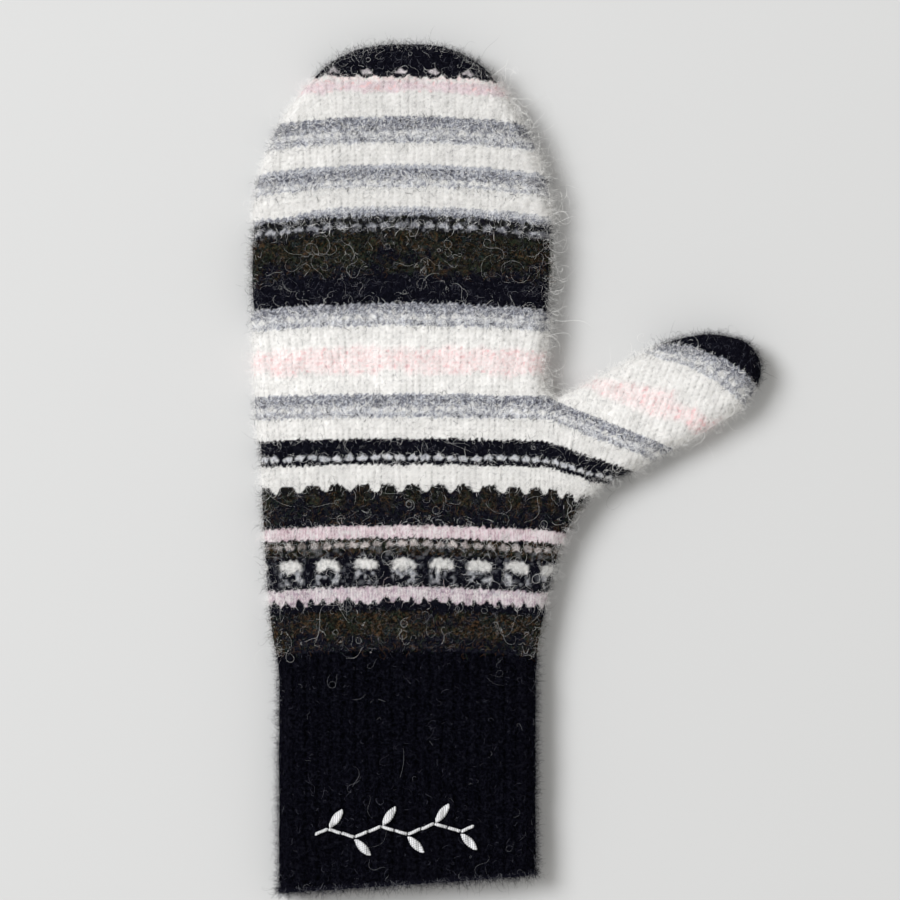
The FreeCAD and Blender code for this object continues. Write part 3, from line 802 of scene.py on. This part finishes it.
# The fabric: a layer above and one below, and for the cuff their insides and the rolled edge.
for number, name in enumerate(PIECES):
    yarn = yarn_of(name)
    cells = corners[piece_of == number]
    lower = np.where(on_rim[cells], cells, cells + TOTAL)
    faces = [cells, lower[:, ::-1]]
    places = [OUTER[0], OUTER[1]]
    own = [COLOURS[0][0], COLOURS[1][0]]
    mixed = [COLOURS[0][1], COLOURS[1][1]]
    if name.startswith("cuff"):
        shade = 0.15 * np.cos(2 * math.pi * RIB_U)[:, None]
        for base, normal in SHEETS:
            places.append(base - normal * (LINING + shade))
        own += own
        mixed += mixed
        faces.append((cells + 2 * TOTAL)[:, ::-1])
        faces.append(np.where(on_rim[cells], cells + 2 * TOTAL, cells + 3 * TOTAL))
    if name == "cuff_cast_on_edge":
        rim = mouth_faces(cells)
        for side in (0, 1):
            base, normal = SHEETS[side]
            lip = base - normal * (LINING / 2)
            lip[:, 1] -= 0.9 + 0.15 * np.cos(4 * math.pi * RIB_U)
            places.append(lip)
            own.append(own[side])
            mixed.append(mixed[side])
            outer = np.where(on_rim[rim], rim, rim + side * TOTAL)
            inner = np.where(on_rim[rim], rim + 2 * TOTAL, rim + (2 + side) * TOTAL)
            edge = np.where(on_rim[rim], rim + 4 * TOTAL, rim + (4 + side) * TOTAL)
            strips = [np.stack([outer[:, 1], outer[:, 0], edge[:, 0], edge[:, 1]], 1)]
            strips.append(np.stack([edge[:, 1], edge[:, 0], inner[:, 0], inner[:, 1]], 1))
            faces += strips if side == 0 else [s[:, ::-1] for s in strips]
    faces = np.concatenate(faces)
    used, renumbered = np.unique(faces, return_inverse=True)
    places, own, mixed = (np.concatenate(layers)[used] for layers in (places, own, mixed))
    obj = add_mesh(name + "_fabric", places, renumbered.reshape(-1, 4), [YARNS[yarn]],
                   attributes=(("yarn", own), ("fibre", mixed)))
    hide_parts(name)
    place_on(obj, zone_of(name))


# ---- strips and tubes
def height_at(x, y):
    """The height of the upper fabric at unrolled plan points."""
    i = np.clip((x - xs[0]) / STEP, 0, NX - 1.001)
    j = np.clip((y - ys[0]) / STEP, 0, NY - 1.001)
    return OUTER[0][np.rint(i).astype(int) * NY + np.rint(j).astype(int), 2]


def ribbons(paths, widths, faces_up):
    """Thin flat strips along paths, which are an array of fibres by points by three."""
    count, points, _ = paths.shape
    side = unit(np.cross(np.gradient(paths, axis=1), faces_up))
    taper = np.linspace(0, 1, points)
    taper = np.minimum(1.0, 2.2 * (1 - taper) + 0.35)
    side = side * (widths[:, None] * taper)[..., None] / 2
    verts = np.stack([paths - side, paths + side], 2).reshape(-1, 3)
    start = (np.arange(count) * points * 2)[:, None] + np.arange(points - 1) * 2
    faces = np.stack([start, start + 1, start + 3, start + 2], -1).reshape(-1, 4)
    return verts, faces


def tubes(paths, radii, sides=8):
    """Thin tubes along paths, tapered to their ends."""
    count, points, _ = paths.shape
    along = unit(np.gradient(paths, axis=1))
    guide = np.where(np.abs(along[..., 2:]) < 0.8, (0.0, 0.0, 1.0), (1.0, 0.0, 0.0))
    first = unit(np.cross(along, guide))
    second = np.cross(along, first)
    t = np.linspace(0, 1, points)
    size = radii[:, None] * np.minimum(1.0, np.minimum(t, 1 - t) * 12 + 0.3)
    rings = []
    for k in range(sides):
        angle = 2 * math.pi * k / sides
        rings.append(paths + (first * math.cos(angle) + second * math.sin(angle)) * size[..., None])
    verts = np.stack(rings, 2).reshape(-1, 3)
    start = (np.arange(count) * points * sides)[:, None] + np.arange(points - 1) * sides
    faces = []
    for k in range(sides):
        m = (k + 1) % sides
        faces.append(np.stack([start + k, start + m, start + sides + m, start + sides + k], -1))
    return verts, np.stack(faces, 2).reshape(-1, 4)


# ---- loose fibres
FIBRE_COLOURS = {
    "white": (0.84, 0.83, 0.81), "silver": (0.24, 0.24, 0.26), "grey": (0.085, 0.085, 0.11),
    "pink": (0.88, 0.73, 0.72), "navy": (0.006, 0.006, 0.012), "olive": (0.040, 0.042, 0.022),
    "brown": (0.11, 0.055, 0.020), "green": (0.030, 0.055, 0.030),
}
FIBRES = [fibre_material(f"loose_{name}_fibre", colour) for name, colour in FIBRE_COLOURS.items()]
WHITE_FIBRE, SILVER_FIBRE, PINK_FIBRE, NAVY_FIBRE = 0, 1, 3, 4

# Which share of a yarn's loose fibres has each colour.
MIXES = {
    "yarn_white": (0.95, 0.05, 0.0, 0.0, 0.0, 0.0, 0.0, 0.0),
    "yarn_grey": (0.40, 0.24, 0.14, 0.0, 0.22, 0.0, 0.0, 0.0),
    "yarn_pink": (0.50, 0.02, 0.0, 0.48, 0.0, 0.0, 0.0, 0.0),
    "yarn_navy": (0.004, 0.016, 0.10, 0.0, 0.88, 0.0, 0.0, 0.0),
    "yarn_olive": (0.004, 0.016, 0.06, 0.0, 0.50, 0.16, 0.16, 0.10),
    "yarn_cuff": (0.0, 0.0, 0.020, 0.0, 0.980, 0.0, 0.0, 0.0),
}
ZONES = ("fingers", "knuckle", "palm", "thumb_root", "thumb", "wrist", "cuff")
cell_zone = np.array([ZONES.index(zone_of(n)) for n in PIECES])[piece_of]
cell_yarn = np.array([list(MIXES).index(yarn_of(n)) for n in PIECES])[piece_of]
GREY_YARN, CUFF_YARN, DARK_YARNS = 1, 5, [3, 4, 5]
TABLE = np.cumsum([MIXES[m] for m in MIXES], 1)
DENSITY = 1.0
SHORTEST, LONGEST, ROOT_SPREAD, MOST_HEIGHT = 0.4, 2.2, 0.12, 19.0
parts = [[] for _ in ZONES]


def fibre_paths(places, normals, heading, lengths, curl, lift, points):
    """Paths that leave the fabric and wander along it, never heading back into it."""
    count = len(places)
    s = np.linspace(0, 1, points)
    wave = rng.uniform(0, 2 * math.pi, count)[:, None]
    sway = np.sin(wave + 5.0 * s) - np.sin(wave)
    angle = heading[:, None] + curl[0][:, None] * s + curl[1][:, None] * sway
    step = (lengths / (points - 1))[:, None]
    move = np.stack([np.cos(angle) * step, np.sin(angle) * step, np.zeros_like(angle)], -1)
    inward_part = np.minimum((move * normals[:, None]).sum(-1), 0.0)
    move -= inward_part[..., None] * normals[:, None]
    run = np.cumsum(move, 1) - move
    rise = -0.12 + lift[:, None] * np.sin(0.85 * math.pi * s) + 0.12 * s
    return places[:, None] + run + rise[..., None] * normals[:, None]


def sow(count, side, length, spread, curl, lift, width, points=5, where=None, tint=None,
        outward=0.0, aim=None):
    """Sow fibres over the fabric. Each one takes its colour from the yarn at its root."""
    count = int(count * DENSITY)
    pool = np.arange(len(corners)) if where is None else np.flatnonzero(where)
    cell = rng.choice(pool, count)
    root = corners[cell, rng.integers(0, 4, count)]
    place, normal = OUTER[side][root], SHEETS[side][1][root]
    place = place + rng.normal(0, ROOT_SPREAD, (count, 3)) * (1, 1, 0)
    lengths = rng.lognormal(math.log(length), spread, count)
    lengths = np.clip(lengths, SHORTEST * length, LONGEST * length)
    bends = (rng.normal(0, curl, count), rng.normal(0, 0.35 * curl, count))
    rises = np.abs(rng.normal(lift, lift * 0.5, count))
    heading = rng.uniform(0, 2 * math.pi, count) if aim is None else rng.normal(aim, 0.6, count)
    away_from = np.arctan2(-into[root, 1], -into[root, 0]) + rng.normal(0, 0.7, count)
    heading = np.where(rng.random(count) < outward, away_from - bends[0] / 2, heading)
    paths = fibre_paths(place, normal, heading, lengths, bends, rises, points)
    paths[..., 2] = np.clip(paths[..., 2], 0.05, MOST_HEIGHT)
    tilt = normal[:, None] + rng.normal(0, 0.5, (count, 1, 3))
    verts, faces = ribbons(paths, rng.uniform(0.7, 1.3, count) * width, tilt)
    yarn = cell_yarn[cell]
    colour = (rng.random(count)[:, None] > TABLE[yarn]).sum(1).clip(0, len(FIBRES) - 1)
    own = COLOURS[side][0][root]
    light = own.mean(1) * 0.6 + COLOURS[side][1][root].mean(1) * 0.4
    dark = np.isin(yarn, DARK_YARNS)
    colour = np.where(dark & (light > 0.2), WHITE_FIBRE, colour)
    colour = np.where(~dark & (light < 0.03), NAVY_FIBRE, colour)
    whitened = (yarn == GREY_YARN) & (light > 0.50) & (rng.random(count) < 0.75)
    colour = np.where(whitened, WHITE_FIBRE, colour)
    colour = np.where((colour == PINK_FIBRE) & (own[:, 0] < 1.12 * own[:, 2]), WHITE_FIBRE, colour)
    if tint is not None:
        colour = np.where(rng.random(count) < tint[1], tint[0], colour)
    zone = cell_zone[cell]
    for z in range(len(ZONES)):
        mine = zone == z
        if mine.any():
            pick = np.repeat(mine, points * 2)
            keep = np.repeat(mine, points - 1)
            new = np.cumsum(pick) - 1
            parts[z].append((verts[pick], new[faces[keep]], np.repeat(colour[mine], points - 1)))


depth_mid, x_mid, y_mid = depth[corners].mean(1), middle_x[kept], middle_y[kept]
near_rim, rim, rolled = depth_mid < 9.0, depth_mid < 6.0, depth_mid < 4.0
knitted = cell_yarn != CUFF_YARN
thumb_cap = piece_of == PIECES.index("thumb_tip_cap_navy")
mouth = end_mid < 0.9
right_fold = near_rim & (x_mid > -2.0) & (y_mid > 18.0) & ~thumb_mid
thumb_fold = near_rim & ~thumb_cap & (x_mid > 12.0) & (y_mid < 45.0) & (y_mid > -50.0)
dark_knit = knitted & np.isin(cell_yarn, DARK_YARNS) & ~thumb_mid

# Each row: how many, 0 above or 1 below, length, its spread, curl, lift and width.
sow(64000, 0, 2.0, 0.35, 2.0, 0.22, 0.060, points=4)
sow(26000, 1, 2.0, 0.35, 2.0, 0.16, 0.060, points=4)
sow(10000, 0, 3.6, 0.35, 3.0, 0.40, 0.042, points=7)
sow(11000, 0, 1.9, 0.35, 2.6, 0.40, 0.045, points=6, where=near_rim)
sow(6000, 1, 1.9, 0.35, 2.6, 0.35, 0.045, points=6, where=near_rim)
sow(5000, 0, 2.3, 0.4, 2.6, 0.45, 0.040, points=6, where=rim & knitted & ~thumb_cap,
    tint=(WHITE_FIBRE, 0.5), outward=0.5)
cuff_rim = rolled & ~knitted
sow(1100, 0, 2.2, 0.35, 1.8, 0.40, 0.040, points=6, where=cuff_rim, tint=(SILVER_FIBRE, 1.0), outward=0.8)
sow(2600, 0, 1.9, 0.35, 1.8, 0.35, 0.050, points=6, where=cuff_rim, tint=(NAVY_FIBRE, 1.0), outward=0.9)
sow(550, 0, 1.6, 0.35, 1.8, 0.30, 0.050, points=6, where=thumb_cap & rolled, outward=0.8)
sow(5500, 0, 1.8, 0.30, 1.2, 0.20, 0.120, points=4, where=cell_yarn == GREY_YARN)
for side in (0, 1):
    sow(2600, side, 2.3, 0.4, 1.4, 0.2, 0.060, points=5, where=mouth, aim=-math.pi / 2)
    sow(500, side, 3.8, 0.4, 2.4, 0.5, 0.040, points=8, where=mouth, tint=(SILVER_FIBRE, 0.25),
        aim=-math.pi / 2)

# Long stray hairs in loops: pale ones over the knitted stripes, few on the cuff, most along the folds.
hair = dict(points=20, curl=4.4)
sow(1200, 0, 3.6, 0.45, lift=0.5, width=0.024, where=dark_knit, tint=(SILVER_FIBRE, 0.75), **hair)
sow(150, 0, 9.0, 0.45, lift=0.6, width=0.026, where=dark_knit, tint=(WHITE_FIBRE, 0.8), **hair)
sow(300, 0, 8.0, 0.45, lift=0.8, width=0.030, where=knitted, tint=(WHITE_FIBRE, 0.8), **hair)
sow(60, 0, 7.0, 0.5, lift=0.6, width=0.036, where=~knitted, tint=(SILVER_FIBRE, 0.7), **hair)
sow(240, 0, 8.5, 0.4, lift=1.4, width=0.075, where=right_fold & rolled, tint=(WHITE_FIBRE, 0.95),
    outward=0.55, **hair)
sow(550, 0, 2.8, 0.4, 3.4, 0.7, 0.042, points=9, where=right_fold & rolled, tint=(WHITE_FIBRE, 0.6),
    outward=0.8)
sow(130, 0, 8.0, 0.4, lift=1.2, width=0.065, where=thumb_fold, tint=(WHITE_FIBRE, 0.9),
    outward=0.45, **hair)
sow(350, 0, 5.0, 0.4, lift=0.7, width=0.045, where=near_rim & knitted & ~thumb_cap,
    tint=(WHITE_FIBRE, 0.5), outward=0.3, **hair)

for zone, sown in zip(ZONES, parts):
    verts, faces = joined([(v, f) for v, f, _ in sown])
    obj = add_mesh("loose_fibres_" + zone, verts, faces, FIBRES, np.concatenate([c for _, _, c in sown]))
    place_on(obj, zone)

# ---- embroidery
thread, tree, shader = principled("white_embroidery_thread", 0.55, 0.1, 0.3)
twist = add_node(tree, "TexWave", {"Scale": 420.0, "Distortion": 2.0})
place = add_node(tree, "TexCoord")
bump = add_node(tree, "Bump", {"Strength": 0.5, "Distance": 0.0002})
# Painted shade: the white thread turns grey where the wave texture that also drives the bump is low, so
# its hollows are darker.
tone = add_node(tree, "Mix", {6: (0.50, 0.50, 0.52, 1.0), 7: (0.88, 0.88, 0.88, 1.0)}, data_type="RGBA")
wire(place, "Object", twist, "Vector")
wire(twist, "Fac", bump, "Height")
wire(bump, "Normal", shader, "Normal")
wire(twist, "Fac", tone, 0)
wire(tone, 2, shader, "Base Color")

SPRIG_START, SPRIG_END = np.array((-63.0, -122.4)), np.array((-10.0, -119.6))
STEM_STITCHES, STEM_WAVE, THREAD, STITCH_GAP = 12, 1.5, 1.1, 0.25
LEAF_LENGTH, LEAF_WIDTH, LEAF_LEAN, LEAF_STITCHES = 7.0, 2.2, 50.0, 9
STEM_RISE, STEM_RADIUS, LEAF_RISE, LEAF_RADIUS, STITCH_POINTS = 0.35, 0.33, 0.45, 0.40, 24


def stitch_path(a, b, rise):
    """A stitch that comes up out of the fabric, lies over it and goes down again."""
    t = np.linspace(0, 1, STITCH_POINTS)[:, None]
    flat = a + (b - a) * t
    ground = np.pad(height_at(flat[:, 0], flat[:, 1]), 3, mode="edge")
    ground = np.convolve(ground, np.ones(7) / 7, "valid")
    arch = np.minimum(1.0, np.minimum(t[:, 0], 1 - t[:, 0]) * 7)
    return np.column_stack([flat, ground + 0.25 + rise * np.sqrt(arch) - 0.5 * (1 - np.sqrt(arch))])


def plied(path, radius, turns):
    """Two plies wound round a path."""
    along = unit(np.gradient(path, axis=0))
    first = unit(np.cross(along, np.eye(3)[np.argmin(np.abs(along).max(0))]))
    second = np.cross(along, first)
    angle = np.linspace(0, 2 * math.pi * turns, len(path))[:, None]
    offset = first * np.cos(angle) + second * np.sin(angle)
    return np.stack([path + 0.45 * radius * offset, path - 0.45 * radius * offset])


stitches = []
for i in range(STEM_STITCHES):
    ends = []
    for k, inset in ((i, 1), (i + 1, -1)):
        share = k / STEM_STITCHES
        wave = STEM_WAVE * (1 if k % 4 == 1 else -1 if k % 4 == 3 else 0)
        spot = SPRIG_START + (SPRIG_END - SPRIG_START) * share
        ends.append(spot + (inset * (THREAD + STITCH_GAP) / 2 - inset * 0.45, wave))
    stitches.append((plied(stitch_path(*ends, STEM_RISE), THREAD / 2, 3.0), STEM_RADIUS))
    if i % 2:
        side = 1 if i % 4 == 1 else -1
        root = ends[0] + (STITCH_GAP, side * (THREAD / 2 + STITCH_GAP))
        turned = math.radians(side * LEAF_LEAN)
        axis = np.array((math.cos(turned), math.sin(turned)))
        cross = np.array((-axis[1], axis[0]))
        for n in range(LEAF_STITCHES):
            share = 0.08 + 0.84 * n / (LEAF_STITCHES - 1)
            half = LEAF_WIDTH / 2 * math.sin(math.pi * share) + 0.18
            centre = root + axis * LEAF_LENGTH * share
            a = centre - cross * half - axis * 0.5
            b = centre + cross * half + axis * 0.5
            stitches.append((stitch_path(a, b, LEAF_RISE)[None], LEAF_RADIUS))
verts, faces = joined([tubes(paths, np.full(len(paths), radius)) for paths, radius in stitches])
sprig = add_mesh("cuff_embroidery_sprig", verts, faces, [thread])
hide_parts("cuff_embroidery")
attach(sprig, "cuff")


# ---- yarns inside
def yarn_round(points, radius, node, yarn, body):
    """A plied yarn that follows places inside the tube."""
    path = np.array(points, float)
    turns = run_lengths(path)[-1] / 5.0
    v, f = tubes(plied(respaced(path, 0.5, 24), radius, turns), np.full(2, radius * 0.6))
    own, mixed = (np.tile(colour, (len(v), 1)) for colour in BASES[yarn])
    obj = add_mesh(node + "_plied", v, f, [YARNS[yarn]], attributes=(("yarn", own), ("fibre", mixed)))
    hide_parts(node)
    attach(obj, body)


def box_mm(name):
    low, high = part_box(name)
    return np.array(low) / MM, np.array(high) / MM


def squared(value):
    """A cosine or sine that makes a flat round loop out of a circle."""
    return np.sign(value) * abs(value) ** 0.35


def bowed(low, high, axis, count, inset):
    """Places on a shallow arc that runs along one axis of a box, seen from above."""
    other = 1 - axis
    middle, half = (low[axis] + high[axis]) / 2, (high[axis] - low[axis]) / 2
    places = np.full((count, 3), 6.4)
    places[:, axis] = np.linspace(low[axis] + 0.5, high[axis] - 0.5, count)
    fall = (high[other] - low[other] - 2 * inset + 0.2) * ((places[:, axis] - middle) / half) ** 2
    places[:, other] = high[other] - inset - fall
    return places


low, high = box_mm("cuff_linking_yarn")
loop = []
for t in np.linspace(0, 2 * math.pi, 240):
    x = (low[0] + high[0]) / 2 + ((high[0] - low[0]) / 2 - 0.9) * squared(math.cos(t))
    z = 6.6 + 3.2 * squared(math.sin(t))
    loop.append((x, WRIST_LEVEL - float(course_drop(np.array(x), WRIST_LEVEL)), z))
yarn_round(loop, 0.6, "cuff_linking_yarn", "yarn_cuff", "cuff")
tip = bowed(*box_mm("fingertip_grafting_yarn"), 0, 60, 0.9)
yarn_round(tip, 0.6, "fingertip_grafting_yarn", "yarn_navy", "fingers")
tip = bowed(*box_mm("thumb_tip_grafting_yarn"), 1, 30, 0.8)
yarn_round(tip, 0.6, "thumb_tip_grafting_yarn", "yarn_navy", "thumb")
low, high = box_mm("crotch_darning_stitches")
t = np.linspace(0, 1, 90)
darn = np.column_stack([(low[0] + high[0]) / 2 + 1.4 * np.cos(6 * math.pi * t),
                        (low[1] + high[1]) / 2 + 0.4 * np.sin(6 * math.pi * t),
                        low[2] + 0.6 + (high[2] - low[2] - 1.2) * t])
yarn_round(darn, 0.45, "crotch_darning_stitches", "yarn_white", "palm")

# ---- floor, light and camera
floor_mesh = bpy.data.meshes.new("floor")
floor_mesh.from_pydata([(-3, -3, 0), (3, -3, 0), (3, 3, 0), (-3, 3, 0)], [], [(0, 1, 2, 3)])
floor = bpy.data.objects.new("floor", floor_mesh)
bpy.context.scene.collection.objects.link(floor)
floor_material, floor_tree, floor_shader = principled("pale_studio_floor", 0.9, gloss=0.0)
floor_shader.inputs["Base Color"].default_value = (0.62, 0.62, 0.615, 1.0)
grain = add_node(floor_tree, "TexNoise", {"Scale": 900.0})
rough = add_node(floor_tree, "MapRange", {"To Min": 0.86, "To Max": 0.94})
wire(grain, "Fac", rough, "Value")
wire(rough, "Result", floor_shader, "Roughness")
floor_mesh.materials.append(floor_material)
floor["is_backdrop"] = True

world = bpy.data.worlds.new("studio")
bpy.context.scene.world = world
world.use_nodes = True
background = world.node_tree.nodes["Background"]
background.inputs["Color"].default_value = (1.0, 0.990, 0.965, 1.0)
background.inputs["Strength"].default_value = 0.54

KEY_PLACE = (-2.6, 1.176, 3.033)
key = bpy.data.lights.new("key", "AREA")
key.shape, key.size, key.energy = "DISK", 2.1, 161.0
key.color = (0.99, 1.0, 1.02)
key_light = bpy.data.objects.new("key", key)
key_light.location = KEY_PLACE
key_light.rotation_euler = (-Vector(KEY_PLACE)).to_track_quat("-Z", "Y").to_euler()
bpy.context.scene.collection.objects.link(key_light)

camera = bpy.data.objects.new("camera", bpy.data.cameras.new("camera"))
camera.data.lens, camera.data.sensor_width = 180.0, 36.0
camera.location = (-0.018, 0.0053, 1.5 + 0.008)
camera.rotation_euler = (0.0, 0.0, 0.0)
camera.data.clip_start, camera.data.clip_end = 0.1, 10.0
bpy.context.scene.collection.objects.link(camera)
bpy.context.scene.camera = camera
bpy.context.scene.view_settings.view_transform = "Standard"
bpy.context.scene.view_settings.look = "None"

low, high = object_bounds()
